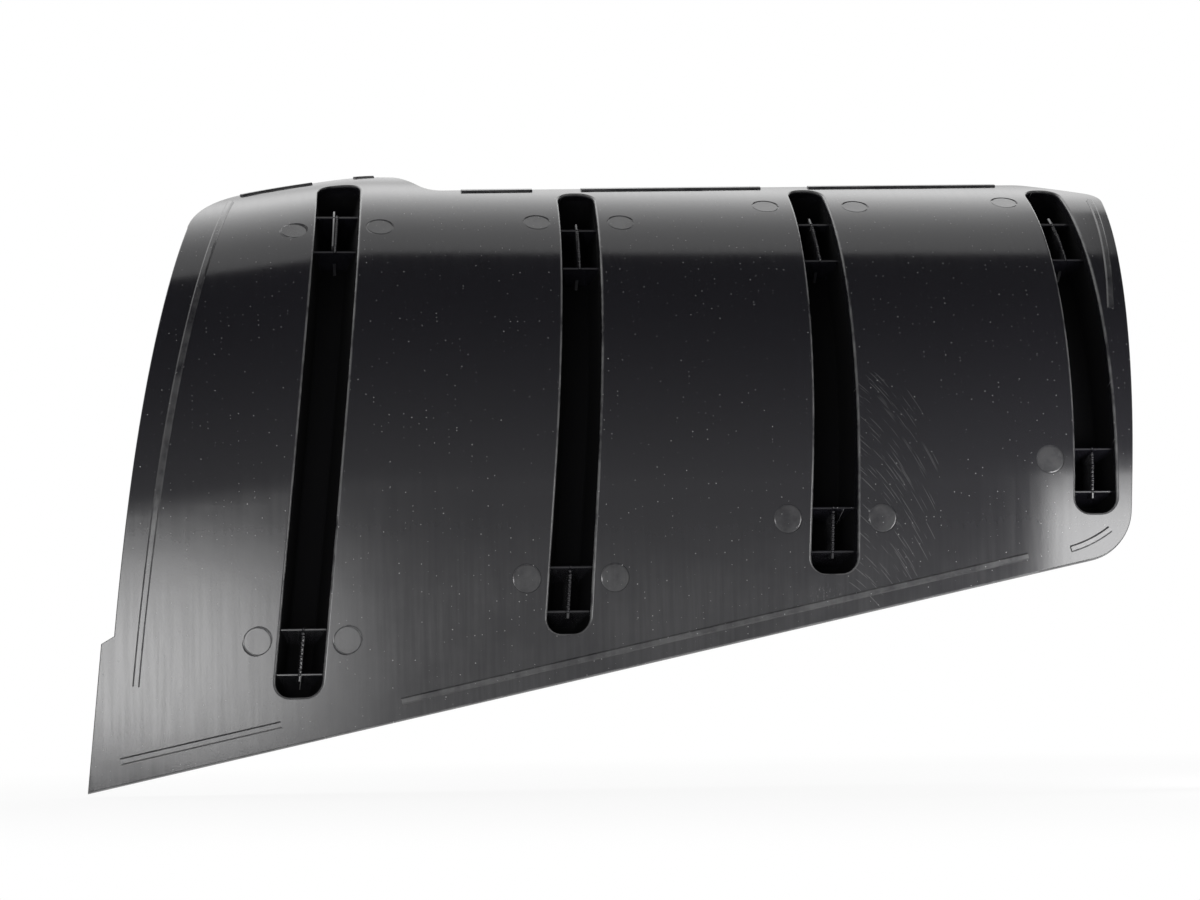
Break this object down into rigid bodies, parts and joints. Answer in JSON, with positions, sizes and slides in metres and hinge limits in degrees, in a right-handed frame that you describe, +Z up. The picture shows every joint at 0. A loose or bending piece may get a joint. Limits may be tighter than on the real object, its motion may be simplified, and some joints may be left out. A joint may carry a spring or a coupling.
{
  "type": "bonnet deflector",
  "caption": "Long black plastic bonnet deflector panel, flat below and rolled back along its top, stiffened by hollow tapered fins, with raised rim beads and a stepped top edge.",
  "frame": {"origin": "on the flat lower part of the bonded face, midway between the two middle fins", "axes": "+X along the panel, +Y from the bonded face to the fin side, +Z up to the rolled top edge"},
  "size_m": [0.6145, 0.1797, 0.3688],
  "materials": {
    "panel_plastic": "as-moulded satin gloss, black, with light handling marks"
  },
  "bodies": {
    "root": {"deflector_panel": "panel_plastic"}
  },
  "joints": []
}
